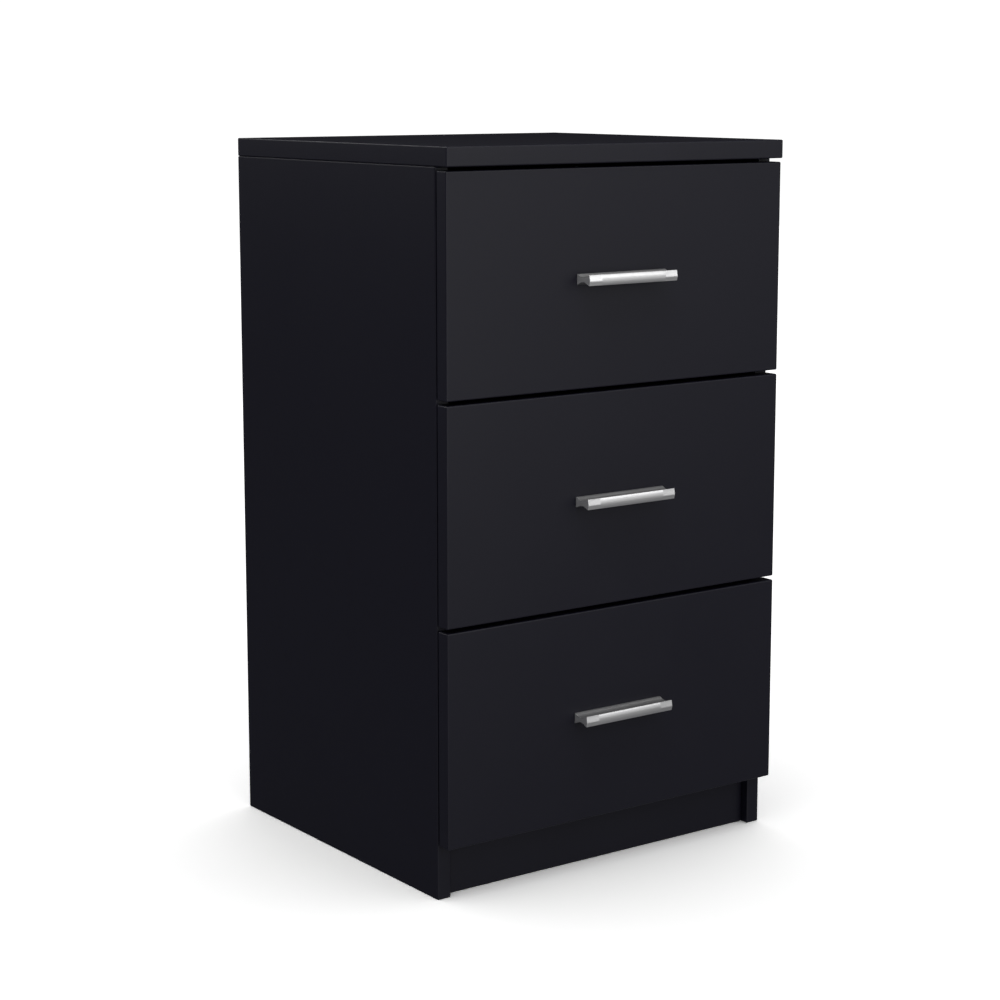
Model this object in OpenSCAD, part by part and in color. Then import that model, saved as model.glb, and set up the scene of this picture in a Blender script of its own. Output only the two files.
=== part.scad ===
// Nightstand with three drawers on roller runners, in laminated board with aluminium handles.
// Millimetres. Origin: floor level, under the middle of the whole object's outline.
// +X is the viewer's right, the drawers face -Y, +Z is up.

/* [Cabinet] */
// Width over the side panels and the top
body_w = 400; // [360:1:600]
// Depth of the top panel
body_d = 369; // [366:1:450]
// Height from the floor to the top's upper face
body_h = 697; // [690:1:760]
// Thickness of the side panels, bottom panel and plinth
board_t = 15; // [15:0.5:18]
// Thickness of the top panel
top_t = 18; // [16:0.5:25]
// How far the top's front edge stands in front of the drawer fronts
top_overhang = 2; // [0:0.5:6]
// Height of the plinth board, with the bottom panel lying on it
plinth_h = 58; // [56:1:70]
// How far the plinth stands back from the side panels' front edges
plinth_setback = 9; // [4:1:20]

/* [Back panel] */
// Thickness of the back panel
back_t = 3; // [2.5:0.1:4]
// Distance from the rear edges to the back panel
back_inset = 10; // [8:1:14]
// Depth of every groove that holds a thin panel
groove_depth = 5; // [4:0.5:6]
// Clearance on each face of a thin panel in its groove
groove_play = 0.1; // [0.05:0.05:0.2]

/* [Drawer fronts] */
// Thickness of a drawer front
front_t = 15; // [15:0.5:18]
// Gap between two drawer fronts
front_gap = 4; // [3:0.5:5]
// Gap between the upper front and the top panel
top_gap = 3.5; // [3:0.5:5]
// Height of the lower front's bottom edge above the floor
front_clearance = 52.5; // [50:0.5:55]
// How far each front stays inside the cabinet's outer sides
front_side_inset = 0.5; // [0:0.5:2]
// Gap between the closed fronts and the side panels' front edges
front_closing_gap = 1.4; // [1:0.1:3]

/* [Drawer boxes] */
// Thickness of a drawer box's sides and back
box_board_t = 12; // [12:0.5:15]
// Height of a drawer box
box_h = 140; // [125:1:145]
// Length of a drawer box behind its front
box_l = 302; // [302:1:320]
// Thickness of a drawer's bottom
bottom_t = 3; // [2.5:0.1:4]
// Height of the drawer bottom's underside above the box sides' lower edges
bottom_rise = 10; // [8:1:14]
// Height of the box sides' lower edges above the front's lower edge
box_rise = 27; // [26:1:30]

/* [Handles] */
// Length of a handle
handle_l = 105; // [104:1:160]
// Height of a handle's profile
handle_h = 10; // [10:0.5:14]
// Distance from the drawer front to the edges of the handle's lip
handle_d = 18.3; // [16:0.1:24]
// How far the lip's face bulges in front of its edges
lip_bulge = 1.1; // [0.5:0.1:2]
// Thickness of the profile's upper and lower tips, at the front and at the lip
handle_tip_t = 1.5; // [1:0.1:2]
// Depth of the hollow along the profile's upper and lower side
handle_hollow = 2.7; // [1.5:0.1:2.7]
// Distance between a handle's two screws
handle_screw_pitch = 96; // [64:32:96]

/* [Runners] */
// Length of a runner
runner_l = 300; // [250:50:300]
// Gap between a drawer box and a side panel, filled by the runner
runner_gap = 12.5; // [12.5:0.1:13]
// Thickness of the runners' steel
steel_t = 1.2; // [1:0.1:1.2]
// Radius of the rollers that stand on the cabinet rails
front_roller_r = 10; // [9.5:0.1:10]
// Radius of the rollers that hang on the drawer rails
rear_roller_r = 9; // [8.5:0.1:9]
// Width of a roller
roller_w = 5.6; // [5:0.1:5.6]

/* [Hidden] */
$fn = 48;
eps = 0.01;

LEVELS = ["top", "middle", "bottom"];
CABINET_PARTS = [
    "top_panel", "left_side_panel", "right_side_panel", "bottom_panel", "plinth_board", "back_panel",
    "cabinet_cam_locks", "cabinet_cam_bolts", "cabinet_dowels", "back_panel_screws",
    "cabinet_rail_screws"
];
LEVEL_PARTS = ["left_cabinet_rail", "right_cabinet_rail", "front_rollers"];
DRAWER_PARTS = [
    "front", "left_side", "right_side", "back", "bottom", "handle", "handle_screws",
    "left_rail", "right_rail", "rear_rollers", "cam_fittings", "box_screws", "rail_screws"
];

// colours
laminate = [0.11, 0.11, 0.13];
hardboard = [0.2, 0.19, 0.19];
aluminium = "silver";
zinc = [0.72, 0.73, 0.75];
runner_paint = [0.85, 0.85, 0.84];
nylon = "whitesmoke";
beech = "burlywood";

// planes from front to back; the handles' lips are the object's frontmost point
handle_reach = handle_d + lip_bulge;
top_y = (handle_reach - top_overhang - body_d) / 2;
face_y = top_y + top_overhang;
front_back_y = face_y + front_t;
side_y = front_back_y + front_closing_gap;
plinth_y = side_y + plinth_setback;
rear_y = top_y + body_d;
back_y = rear_y - back_inset - back_t;
side_d = rear_y - side_y;
side_h = body_h - top_t;
inner_w = body_w - 2 * board_t;
inner_x = inner_w / 2;

// drawer fronts and boxes
front_w = body_w - 2 * front_side_inset;
front_h = (side_h - top_gap - front_clearance - 2 * front_gap) / 3;
box_x = inner_x - runner_gap;
box_inner_x = box_x - box_board_t;
box_rear_y = front_back_y + box_l;
box_inner_l = box_l - box_board_t;
function front_z(i) = front_clearance + (2 - i) * (front_h + front_gap);
function box_z(i) = front_z(i) + box_rise;

// runners, seen from the front: heights above the box sides' lower edges
rail_z = -2;
flange_w = 9.8;
cabinet_flange_top = rail_z + 21.2;
rear_roller_z = rail_z + steel_t + rear_roller_r + 0.3;
front_roller_z = rail_z + 12.7;
ledge_z = rail_z + 23;
ledge_w = 10;
foot_w = 11;
ledge_lip_h = 1.4;
roller_gap = 1.5;
roller_inset = 12;
upper_flange_start = 26;
pin_r = 2;
pin_head_r = 3.5;
pin_head_t = 0.7;
roller_play = 0.05;
cabinet_rail_y = side_y + 1;
drawer_rail_y = front_back_y + 1;
cabinet_screw_ys = [37, 165, runner_l - 17];
drawer_screw_ys = [40, 150, runner_l - 45];
rail_screw_r = 1.6;
rail_screw_head_r = 3.2;
rail_screw_head_t = 1;
cabinet_screw_l = 11;
drawer_screw_l = 8.5;

// cam fittings, dowels and screws
cam_r = 7.5;
cam_reach = 24;
cam_cover = 2.5;
bolt_r = 2.5;
bolt_l = 11;
bolt_neck_r = 1.8;
bolt_head_r = 2.5;
bolt_head_l = 4;
bolt_way_r = 3.5;
slot_w = 1.4;
slot_l = 7;
slot_depth = 2;
dowel_r = 4;
dowel_l = 30;
dowel_short = 10;
box_screw_r = 2.5;
box_screw_l = 40;
box_screw_head_r = 3.5;
box_screw_head_t = 3;
handle_screw_r = 2;
handle_screw_way_r = 2.3;
handle_screw_grip = 5.5;
handle_screw_head_r = 4;
handle_screw_head_t = 2.6;
handle_hole_l = 6;
back_screw_r = 1.5;
back_screw_l = 16;
back_screw_head_r = 3;
back_screw_head_t = 1;
side_cam_ys = [side_y + 50, back_y - 47];
side_dowel_ys = [side_y + 85, back_y - 85];
plinth_cam_z = plinth_h - 18;
plinth_dowel_z = 18;
box_joint_zs = [45, 115];
back_screw_xs = [-120, 0, 120];

// Shapes used by several parts

module mirrored_pair() {
    children();
    mirror([1, 0, 0]) children();
}

// A cylinder along +X from the origin
module rod_x(r, l) {
    rotate([0, 90, 0]) cylinder(r = r, h = l);
}

// A cross-shaped driver slot cut down into a face at the origin
module cross_slot(depth = slot_depth) {
    for (turn = [0, 90]) {
        rotate([0, 0, turn]) translate([-slot_l / 2, -slot_w / 2, -depth]) cube([slot_l, slot_w, depth + eps]);
    }
}

// The left-hand corner joints. In each, +X runs into the board with the cam, whose edge is at the origin,
// and +Z leaves the face that the cam is set in.
module top_joints() {
    for (y = side_cam_ys) {
        translate([-body_w / 2 + board_t / 2, y, side_h]) rotate([0, 90, 0]) children();
    }
}

module bottom_joints() {
    for (y = side_cam_ys) translate([-inner_x, y, plinth_h + board_t / 2]) rotate([180, 0, 0]) children();
}

module plinth_joints() {
    translate([-inner_x, plinth_y + board_t / 2, plinth_cam_z]) rotate([-90, 0, 0]) children();
}

module front_joints(i) {
    for (z = box_joint_zs) {
        translate([-box_x + box_board_t / 2, front_back_y, box_z(i) + z]) rotate([-90, 0, 90]) children();
    }
}

module cam_pocket(t) {
    translate([-eps, 0, 0]) rod_x(bolt_way_r, cam_reach);
    translate([cam_reach, 0, -cam_cover]) cylinder(r = cam_r, h = t / 2 + cam_cover + eps);
}

module cam_lock(t) {
    difference() {
        translate([cam_reach, 0, -cam_cover]) cylinder(r = cam_r, h = t / 2 + cam_cover);
        rod_x(bolt_way_r, cam_reach + bolt_head_l / 2);
        translate([cam_reach, 0, t / 2]) cross_slot();
    }
}

module cam_bolt() {
    translate([-bolt_l, 0, 0]) rod_x(bolt_r, bolt_l);
    rod_x(bolt_neck_r, cam_reach);
    translate([cam_reach - bolt_head_l / 2, 0, 0]) rod_x(bolt_head_r, bolt_head_l / 2);
}

module bolt_hole() {
    translate([-bolt_l, 0, 0]) rod_x(bolt_r, bolt_l + eps);
}

// The left-hand dowels: between top and side, bottom panel and side, plinth and side
module top_dowels() {
    for (y = side_dowel_ys) {
        translate([-body_w / 2 + board_t / 2, y, side_h + dowel_short - dowel_l]) cylinder(r = dowel_r, h = dowel_l);
    }
}

module bottom_dowels() {
    for (y = side_dowel_ys) {
        translate([-inner_x - dowel_short, y, plinth_h + board_t / 2]) rod_x(dowel_r, dowel_l);
    }
}

module plinth_dowels() {
    translate([-inner_x - dowel_short, plinth_y + board_t / 2, plinth_dowel_z]) rod_x(dowel_r, dowel_l);
}

// Cabinet

// The slot that the back panel stands in
module back_slot() {
    translate([-inner_x - groove_depth, back_y - groove_play, plinth_h]) {
        cube([inner_w + 2 * groove_depth, back_t + 2 * groove_play, side_h - plinth_h + groove_depth]);
    }
}

module top_panel() {
    color(laminate) difference() {
        translate([-body_w / 2, top_y, side_h]) cube([body_w, body_d, top_t]);
        back_slot();
        mirrored_pair() {
            top_joints() bolt_hole();
            top_dowels();
        }
    }
}

module side_panel() {
    color(laminate) difference() {
        translate([-body_w / 2, side_y, 0]) cube([board_t, side_d, side_h]);
        back_slot();
        top_joints() cam_pocket(board_t);
        bottom_joints() bolt_hole();
        plinth_joints() bolt_hole();
        top_dowels();
        bottom_dowels();
        plinth_dowels();
        for (i = [0:2]) cabinet_screws(i);
    }
}

module bottom_panel() {
    color(laminate) difference() {
        translate([-inner_x, side_y, plinth_h]) cube([inner_w, back_y - side_y, board_t]);
        mirrored_pair() {
            bottom_joints() cam_pocket(board_t);
            bottom_dowels();
        }
        back_screws();
    }
}

module plinth_board() {
    color(laminate) difference() {
        translate([-inner_x, plinth_y, 0]) cube([inner_w, board_t, plinth_h]);
        mirrored_pair() {
            plinth_joints() cam_pocket(board_t);
            plinth_dowels();
        }
    }
}

module back_panel() {
    play = 2 * groove_play;
    color(hardboard) difference() {
        translate([-inner_x - groove_depth + play, back_y, plinth_h]) {
            cube([inner_w + 2 * (groove_depth - play), back_t, side_h - plinth_h + groove_depth - play]);
        }
        back_screws();
    }
}

module cabinet_cam_locks() {
    color(zinc) mirrored_pair() {
        top_joints() cam_lock(board_t);
        bottom_joints() cam_lock(board_t);
        plinth_joints() cam_lock(board_t);
    }
}

module cabinet_cam_bolts() {
    color(zinc) mirrored_pair() {
        top_joints() cam_bolt();
        bottom_joints() cam_bolt();
        plinth_joints() cam_bolt();
    }
}

module cabinet_dowels() {
    color(beech) mirrored_pair() {
        top_dowels();
        bottom_dowels();
        plinth_dowels();
    }
}

// Countersunk flush into the back panel, and driven into the bottom panel's rear edge
module back_screws() {
    for (x = back_screw_xs) {
        translate([x, back_y + back_t, plinth_h + board_t / 2]) rotate([90, 0, 0]) {
            cylinder(r = back_screw_r, h = back_screw_l);
            cylinder(r = back_screw_head_r, h = back_screw_head_t);
        }
    }
}

module back_panel_screws() {
    color(zinc) back_screws();
}

// Runners

// A roller's place: its hub's outer end, at the left-hand side panel
module front_roller_place(i) {
    translate([-inner_x + flange_w - roller_w, cabinet_rail_y + roller_inset, box_z(i) + front_roller_z]) children();
}

module rear_roller_place(i) {
    translate([-box_x - steel_t - roller_gap - roller_w, drawer_rail_y + runner_l - roller_inset,
        box_z(i) + rear_roller_z]) children();
}

module roller(r) {
    rim = 2;
    web_t = 1;
    difference() {
        rod_x(r, roller_w);
        translate([-eps, 0, 0]) rod_x(pin_r + roller_play, roller_w + 2 * eps);
        for (x = [-eps, roller_w - web_t]) {
            translate([x, 0, 0]) difference() {
                rod_x(r - rim, web_t + eps);
                translate([-eps, 0, 0]) rod_x(pin_head_r + 1, web_t + 3 * eps);
            }
        }
    }
}

// Fixed to the left side panel: a web with two flanges, and the pin that its roller turns on
module cabinet_rail(i) {
    pin_l = flange_w - steel_t + pin_head_t + roller_play;
    rail_h = cabinet_flange_top - rail_z;
    color(runner_paint) {
        difference() {
            translate([-inner_x, cabinet_rail_y, box_z(i) + rail_z]) {
                cube([steel_t, runner_l, rail_h]);
                cube([flange_w, runner_l, steel_t]);
                translate([0, upper_flange_start, rail_h - steel_t]) {
                    cube([flange_w, runner_l - upper_flange_start, steel_t]);
                }
            }
            cabinet_screws(i);
        }
        translate([-inner_x + steel_t - eps, cabinet_rail_y + roller_inset, box_z(i) + front_roller_z]) {
            rod_x(pin_r, pin_l);
            translate([pin_l - pin_head_t, 0, 0]) rod_x(pin_head_r, pin_head_t);
        }
    }
}

// Fixed under the left box side: a foot, a web, the ledge that rides on the front roller, and the rear pin
module drawer_rail(i) {
    pin_l = roller_gap + roller_w + roller_play + pin_head_t;
    web_x = -box_x - steel_t;
    web_h = ledge_z + 2 * steel_t;
    color(runner_paint) {
        difference() {
            union() {
                translate([web_x, drawer_rail_y, box_z(i) - steel_t]) {
                    cube([steel_t, runner_l, web_h]);
                    cube([foot_w, runner_l, steel_t]);
                }
                translate([web_x + steel_t - ledge_w, drawer_rail_y, box_z(i) + ledge_z]) {
                    cube([ledge_w, runner_l, steel_t]);
                    translate([0, 0, -ledge_lip_h]) cube([steel_t, runner_l, ledge_lip_h + steel_t]);
                }
            }
            drawer_screws(i);
        }
        translate([web_x - pin_l + eps, drawer_rail_y + runner_l - roller_inset, box_z(i) + rear_roller_z]) {
            rod_x(pin_r, pin_l);
            rod_x(pin_head_r, pin_head_t);
        }
    }
}

module cabinet_screws(i) {
    for (y = cabinet_screw_ys) {
        translate([-inner_x + steel_t, cabinet_rail_y + y, box_z(i) + rear_roller_z]) {
            translate([-cabinet_screw_l, 0, 0]) rod_x(rail_screw_r, cabinet_screw_l);
            rod_x(rail_screw_head_r, rail_screw_head_t);
        }
    }
}

module drawer_screws(i) {
    for (y = drawer_screw_ys) {
        translate([-box_x + box_board_t / 2, drawer_rail_y + y, box_z(i) - steel_t]) {
            cylinder(r = rail_screw_r, h = drawer_screw_l);
            translate([0, 0, -rail_screw_head_t]) cylinder(r = rail_screw_head_r, h = rail_screw_head_t);
        }
    }
}

module cabinet_rail_screws() {
    color(zinc) mirrored_pair() for (i = [0:2]) cabinet_screws(i);
}

module front_rollers(i) {
    color(nylon) mirrored_pair() front_roller_place(i) roller(front_roller_r);
}

module rear_rollers(i) {
    color(nylon) mirrored_pair() rear_roller_place(i) roller(rear_roller_r);
}

// Drawers

// The slot round the box that holds the drawer's bottom
module bottom_slot(i) {
    x = box_inner_x + groove_depth;
    translate([-x, front_back_y - groove_depth, box_z(i) + bottom_rise - groove_play]) {
        cube([2 * x, box_inner_l + 2 * groove_depth, bottom_t + 2 * groove_play]);
    }
}

module handle_places(i) {
    for (side = [-1, 1]) {
        translate([side * handle_screw_pitch / 2, front_back_y, front_z(i) + front_h / 2]) {
            rotate([90, 0, 0]) children();
        }
    }
}

module drawer_front(i) {
    color(laminate) difference() {
        translate([-front_w / 2, face_y, front_z(i)]) cube([front_w, front_t, front_h]);
        bottom_slot(i);
        mirrored_pair() front_joints(i) bolt_hole();
        handle_places(i) translate([0, 0, -eps]) cylinder(r = handle_screw_way_r, h = front_t + 2 * eps);
    }
}

module drawer_side(i) {
    color(laminate) difference() {
        translate([-box_x, front_back_y, box_z(i)]) cube([box_board_t, box_l, box_h]);
        bottom_slot(i);
        front_joints(i) cam_pocket(box_board_t);
        box_screws_left(i);
        drawer_screws(i);
    }
}

module drawer_back(i) {
    color(laminate) difference() {
        translate([-box_inner_x, box_rear_y - box_board_t, box_z(i)]) cube([2 * box_inner_x, box_board_t, box_h]);
        bottom_slot(i);
        mirrored_pair() box_screws_left(i);
    }
}

module drawer_bottom(i) {
    overlap = groove_depth - 2 * groove_play;
    x = box_inner_x + overlap;
    translate([-x, front_back_y - overlap, box_z(i) + bottom_rise]) {
        color(hardboard) cube([2 * x, box_inner_l + 2 * overlap, bottom_t]);
    }
}

// Aluminium profile: a web with tips at the front and at the lip, and a hollow above and below
module drawer_handle(i) {
    hollow_w = handle_d - 2 * handle_tip_t;
    hollow_r = (hollow_w * hollow_w / 4 + handle_hollow * handle_hollow) / (2 * handle_hollow);
    hollow_z = handle_h / 2 - handle_hollow + hollow_r;
    lip_r = (handle_h * handle_h / 4 + lip_bulge * lip_bulge) / (2 * lip_bulge);
    color(aluminium) difference() {
        translate([-handle_l / 2, face_y, front_z(i) + front_h / 2]) {
            difference() {
                translate([0, -handle_d, -handle_h / 2]) cube([handle_l, handle_d, handle_h]);
                for (side = [-1, 1]) translate([-eps, -handle_d / 2, side * hollow_z]) {
                    rod_x(hollow_r, handle_l + 2 * eps);
                }
            }
            intersection() {
                translate([0, lip_r - handle_reach, 0]) rod_x(lip_r, handle_l);
                translate([0, -handle_reach, -handle_h / 2]) cube([handle_l, lip_bulge + eps, handle_h]);
            }
        }
        handle_places(i) cylinder(r = handle_screw_r, h = front_t + handle_hole_l);
    }
}

module drawer_handle_screws(i) {
    color(zinc) handle_places(i) difference() {
        union() {
            cylinder(r = handle_screw_r, h = front_t + handle_screw_grip);
            translate([0, 0, -handle_screw_head_t]) cylinder(r = handle_screw_head_r, h = handle_screw_head_t);
        }
        translate([0, 0, -handle_screw_head_t]) mirror([0, 0, 1]) cross_slot();
    }
}

module drawer_cam_fittings(i) {
    color(zinc) mirrored_pair() {
        front_joints(i) cam_lock(box_board_t);
        front_joints(i) cam_bolt();
    }
}

// Driven through the left box side into the end of the box's back
module box_screws_left(i) {
    for (z = box_joint_zs) translate([-box_x, box_rear_y - box_board_t / 2, box_z(i) + z]) {
        rod_x(box_screw_r, box_screw_l);
        rod_x(box_screw_head_r, box_screw_head_t);
    }
}

module drawer_box_screws(i) {
    color(zinc) mirrored_pair() box_screws_left(i);
}

module drawer_rail_screws(i) {
    color(zinc) mirrored_pair() drawer_screws(i);
}

// One solid, or one group of like solids, for each node

top_panel();
side_panel();  // left_side_panel
mirror([1, 0, 0]) side_panel();  // right_side_panel
bottom_panel();
plinth_board();
back_panel();
cabinet_cam_locks();
cabinet_cam_bolts();
cabinet_dowels();
back_panel_screws();
cabinet_rail_screws();

for (i = [0:2]) {
    level = LEVELS[i];
    drawer = str(level, "_drawer");
    cabinet_rail(i);
    mirror([1, 0, 0]) cabinet_rail(i);
    front_rollers(i);
    drawer_front(i);
    drawer_side(i);
    mirror([1, 0, 0]) drawer_side(i);
    drawer_back(i);
    drawer_bottom(i);
    drawer_handle(i);
    drawer_handle_screws(i);
    drawer_rail(i);
    mirror([1, 0, 0]) drawer_rail(i);
    rear_rollers(i);
    drawer_cam_fittings(i);
    drawer_box_screws(i);
    drawer_rail_screws(i);
}
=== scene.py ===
import math
import bmesh
import bpy
from mathutils import Matrix, Vector


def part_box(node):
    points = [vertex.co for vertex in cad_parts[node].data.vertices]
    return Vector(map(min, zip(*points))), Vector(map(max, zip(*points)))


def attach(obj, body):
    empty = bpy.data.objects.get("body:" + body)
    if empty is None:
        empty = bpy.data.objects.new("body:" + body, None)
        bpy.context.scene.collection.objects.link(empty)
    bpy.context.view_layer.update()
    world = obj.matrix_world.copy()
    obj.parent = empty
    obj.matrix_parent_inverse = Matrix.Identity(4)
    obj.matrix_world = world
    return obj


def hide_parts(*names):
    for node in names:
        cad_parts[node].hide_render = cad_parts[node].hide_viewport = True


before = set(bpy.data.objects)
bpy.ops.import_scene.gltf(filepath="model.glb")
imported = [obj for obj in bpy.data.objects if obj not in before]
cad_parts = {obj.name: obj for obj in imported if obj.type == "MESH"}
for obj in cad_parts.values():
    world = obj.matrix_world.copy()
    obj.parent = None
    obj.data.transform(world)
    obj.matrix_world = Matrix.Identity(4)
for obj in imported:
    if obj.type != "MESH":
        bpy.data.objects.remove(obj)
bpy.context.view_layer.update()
scene = bpy.context.scene
levels = ("top", "middle", "bottom")
mm = 0.001
print("frame loaded:", len(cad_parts), "nodes")

# Camera

camera = {
    "place": (-1.3575, -1.8527, 0.7567),  # where it stands, in metres
    "turn": 35.94,  # degrees to the right of straight ahead
    "tilt": 9.42,  # degrees down
    "lens": 82.98,
    "shiftUp": -0.04,
}


def makeCamera():
    data = bpy.data.cameras.new("camera")
    data.lens = camera["lens"]
    data.sensor_width = 36
    data.shift_y = camera["shiftUp"]
    data.clip_start = 0.05
    obj = bpy.data.objects.new("camera", data)
    obj.location = camera["place"]
    obj.rotation_euler = (math.radians(90 - camera["tilt"]), 0, math.radians(-camera["turn"]))
    scene.collection.objects.link(obj)
    scene.camera = obj


makeCamera()

# Shader helpers


def addNode(tree, kind, **inputs):
    node = tree.nodes.new("ShaderNode" + kind)
    for name, value in inputs.items():
        socket = node.inputs[name.replace("_", " ")]
        if isinstance(value, bpy.types.NodeSocket):
            tree.links.new(value, socket)
        else:
            socket.default_value = value
    return node


def addMath(tree, operation, a, b=0.0, clamp=False):
    node = tree.nodes.new("ShaderNodeMath")
    node.operation = operation
    node.use_clamp = clamp
    for socket, value in zip(node.inputs, (a, b)):
        if isinstance(value, bpy.types.NodeSocket):
            tree.links.new(value, socket)
        else:
            socket.default_value = value
    return node.outputs[0]


def addVector(tree, operation, a, b=(0, 0, 0)):
    node = tree.nodes.new("ShaderNodeVectorMath")
    node.operation = operation
    for socket, value in zip(node.inputs, (a, b)):
        if isinstance(value, bpy.types.NodeSocket):
            tree.links.new(value, socket)
        else:
            socket.default_value = value
    return node


def addRange(tree, value, fromLow, fromHigh, toLow, toHigh):
    node = addNode(tree, "MapRange", Value=value)
    limits = {"From Min": fromLow, "From Max": fromHigh, "To Min": toLow, "To Max": toHigh}
    for name, number in limits.items():
        node.inputs[name].default_value = number
    return node.outputs[0]


def addMix(tree, factor, a, b):
    node = tree.nodes.new("ShaderNodeMix")
    node.data_type = "RGBA"
    for index, value in ((0, factor), (6, a), (7, b)):
        if isinstance(value, bpy.types.NodeSocket):
            tree.links.new(value, node.inputs[index])
        else:
            node.inputs[index].default_value = value
    return node.outputs[2]


def spread(tree, value, middle, half):
    # a 0 to 1 value as a range of half either side of a middle
    return addRange(tree, value, 0, 1, middle - half, middle + half)


def place(tree, stretch=(1, 1, 1)):
    # the piece's own coordinates in metres, stretched along an axis for drawn or grained finishes
    coordinates = tree.nodes.new("ShaderNodeTexCoord")
    mapping = addNode(tree, "Mapping", Vector=coordinates.outputs["Object"])
    mapping.inputs["Scale"].default_value = stretch
    return mapping.outputs[0]


def startGroup(name, inputs, outputs):
    group = bpy.data.node_groups.new(name, "ShaderNodeTree")
    for label, kind, value in inputs:
        socket = group.interface.new_socket(name=label, in_out="INPUT", socket_type="NodeSocket" + kind)
        if value is not None:
            socket.default_value = value
    for label, kind in outputs:
        group.interface.new_socket(name=label, in_out="OUTPUT", socket_type="NodeSocket" + kind)
    return group, group.nodes.new("NodeGroupInput"), group.nodes.new("NodeGroupOutput")


def useGroup(tree, group, **inputs):
    node = tree.nodes.new("ShaderNodeGroup")
    node.node_tree = group
    for name, value in inputs.items():
        if isinstance(value, bpy.types.NodeSocket):
            tree.links.new(value, node.inputs[name])
        else:
            node.inputs[name].default_value = value
    return node


# Effects that several materials share


def makePearlGroup():
    # the fine pressed texture of laminate and edging: soft pearls a fraction of a millimetre across
    group, inside, out = startGroup(
        "pearlTexture",
        [("Place", "Vector", None), ("Size", "Float", 0.6)],
        [("Height", "Float"), ("Spots", "Float")],
    )
    scale = addMath(group, "DIVIDE", 1000.0, inside.outputs["Size"])
    pearls = addNode(group, "TexVoronoi", Vector=inside.outputs["Place"], Scale=scale)
    pearls.feature = "SMOOTH_F1"
    coarser = addMath(group, "MULTIPLY", scale, 0.6)
    grit = addNode(group, "TexNoise", Vector=inside.outputs["Place"], Scale=coarser)
    grit.inputs["Detail"].default_value = 3
    bumps = addRange(group, pearls.outputs["Distance"], 0.1, 0.7, 1, 0)
    height = addMath(group, "ADD", addMath(group, "MULTIPLY", bumps, 0.6), grit.outputs["Fac"])
    group.links.new(height, out.inputs["Height"])
    group.links.new(bumps, out.inputs["Spots"])
    return group


def makeHandlingGroup():
    # cloudy unevenness from wiping and handling, and a few finger smudges
    group, inside, out = startGroup(
        "handling",
        [("Place", "Vector", None), ("Patch", "Float", 0.12)],
        [("Clouds", "Float"), ("Smudges", "Float")],
    )
    scale = addMath(group, "DIVIDE", 1.0, inside.outputs["Patch"])
    clouds = addNode(group, "TexNoise", Vector=inside.outputs["Place"], Scale=scale)
    clouds.inputs["Detail"].default_value = 4
    clouds.inputs["Distortion"].default_value = 0.6
    finer = addMath(group, "MULTIPLY", scale, 4)
    prints = addNode(group, "TexNoise", Vector=inside.outputs["Place"], Scale=finer)
    prints.inputs["Detail"].default_value = 5
    smudges = addRange(group, prints.outputs["Fac"], 0.56, 0.72, 0, 1)
    group.links.new(clouds.outputs["Fac"], out.inputs["Clouds"])
    group.links.new(smudges, out.inputs["Smudges"])
    return group


def makeScratchGroup():
    # hairline scratches that run one way, from noise drawn out along an axis
    group, inside, out = startGroup(
        "hairlines",
        [("Place", "Vector", None), ("Density", "Float", 900.0)],
        [("Height", "Float"), ("Lines", "Float")],
    )
    fine = addNode(group, "TexNoise", Vector=inside.outputs["Place"], Scale=inside.outputs["Density"])
    fine.inputs["Detail"].default_value = 4
    fine.inputs["Roughness"].default_value = 0.7
    lines = addRange(group, fine.outputs["Fac"], 0.3, 0.7, 0, 1)
    group.links.new(fine.outputs["Fac"], out.inputs["Height"])
    group.links.new(lines, out.inputs["Lines"])
    return group


def makeWearGroup():
    # where corners get rubbed: outward bends, broken up into patches
    group, inside, out = startGroup(
        "edgeWear",
        [("Place", "Vector", None), ("Patch", "Float", 0.02)],
        [("Mask", "Float")],
    )
    bends = group.nodes.new("ShaderNodeNewGeometry").outputs["Pointiness"]
    scale = addMath(group, "DIVIDE", 1.0, inside.outputs["Patch"])
    patches = addNode(group, "TexNoise", Vector=inside.outputs["Place"], Scale=scale)
    patches.inputs["Detail"].default_value = 5
    worn = addRange(group, patches.outputs["Fac"], 0.5, 0.75, 0, 1)
    mask = addMath(group, "MULTIPLY", addRange(group, bends, 0.53, 0.62, 0, 1), worn)
    group.links.new(mask, out.inputs["Mask"])
    return group


pearlGroup = makePearlGroup()
handlingGroup = makeHandlingGroup()
hairlineGroup = makeScratchGroup()
wearGroup = makeWearGroup()


def startMaterial(name):
    material = bpy.data.materials.new(name)
    material.use_nodes = True
    tree = material.node_tree
    tree.nodes.clear()
    out = tree.nodes.new("ShaderNodeOutputMaterial")
    shader = tree.nodes.new("ShaderNodeBsdfPrincipled")
    tree.links.new(shader.outputs[0], out.inputs["Surface"])
    return material, tree, shader


def setBump(tree, shader, height, depth):
    # depth in millimetres from the lowest to the highest point
    bump = addNode(tree, "Bump", Height=height)
    bump.inputs["Strength"].default_value = 1
    bump.inputs["Distance"].default_value = depth * mm
    tree.links.new(bump.outputs[0], shader.inputs["Normal"])


def shade(colour, factor):
    return tuple(c * factor for c in colour) + (1,)


# Materials

laminateLook = {
    "colour": (0.0047, 0.0045, 0.0090),
    "roughness": 0.40,
    "uneven": 0.02,  # how far the roughness strays with wiping and handling
    "specular": 0.3,
    "pearl": 0.55,  # millimetres across
    "depth": 0.012,  # millimetres
}


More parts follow.
